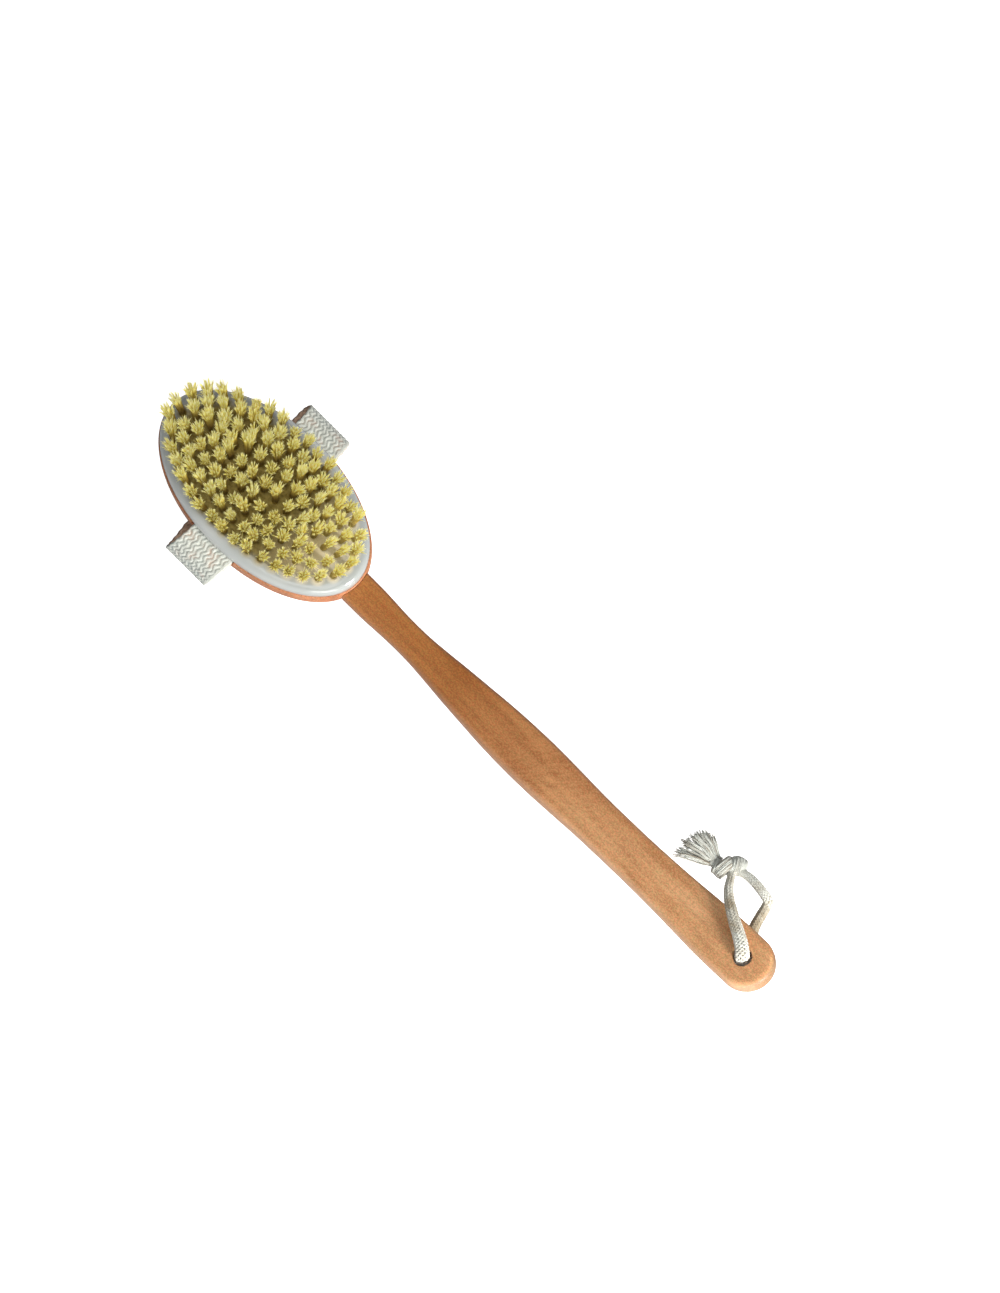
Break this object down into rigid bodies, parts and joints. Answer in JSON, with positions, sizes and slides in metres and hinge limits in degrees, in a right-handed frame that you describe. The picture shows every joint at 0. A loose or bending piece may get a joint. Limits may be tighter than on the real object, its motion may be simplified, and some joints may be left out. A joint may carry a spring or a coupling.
{
  "type": "body dry brush",
  "caption": "Long-handled dry body brush: oval wooden head with bristle tufts in a white plate, a woven hand strap across its back, and a removable curved wooden handle with a hanging cord.",
  "frame": {"origin": "middle of the flat underside of the hand strap, where the brush rests with its bristles up", "axes": "+X from the head along the handle, +Y across the brush, +Z the way the bristles point"},
  "size_m": [0.423, 0.1, 0.0641],
  "materials": {
    "beech_head": "satin lacquered beech",
    "beech_handle": "satin lacquered beech",
    "white_plastic": "gloss white",
    "bristle": "pale natural bristle",
    "cotton_webbing": "off-white ribbed cotton webbing",
    "steel_wire": "plain wire",
    "cotton_cord": "soft braided cotton"
  },
  "bodies": {
    "head": {"back_plate": "beech_head", "bristle_pad": "white_plastic", "tuft_row_outer_1": "bristle", "tuft_row_outer_2": "bristle", "tuft_row_outer_3": "bristle", "tuft_row_outer_4": "bristle", "tuft_row_second_1": "bristle", "tuft_row_second_2": "bristle", "tuft_row_second_3": "bristle", "tuft_row_second_4": "bristle", "tuft_row_third_1": "bristle", "tuft_row_third_2": "bristle", "tuft_row_third_3": "bristle", "tuft_row_fourth_1": "bristle", "tuft_row_fourth_2": "bristle", "tuft_row_middle": "bristle", "strap_staple_1": "steel_wire", "strap_staple_2": "steel_wire", "strap_staple_3": "steel_wire", "strap_staple_4": "steel_wire", "hand_strap": "cotton_webbing"},
    "handle": {"handle": "beech_handle"},
    "cord": {"hanging_cord": "cotton_cord"}
  },
  "joints": [
    {"name": "handle_slide", "type": "slide", "parent": "head", "child": "handle", "axis": [1, 0, 0], "range_m": [0, 0.05]},
    {"name": "cord_swivel", "type": "hinge", "parent": "handle", "child": "cord", "pos_m": [0.3485, 0, 0.05419], "axis": [-0.2037, 0, 0.979], "range_deg": [-245, 4]}
  ]
}
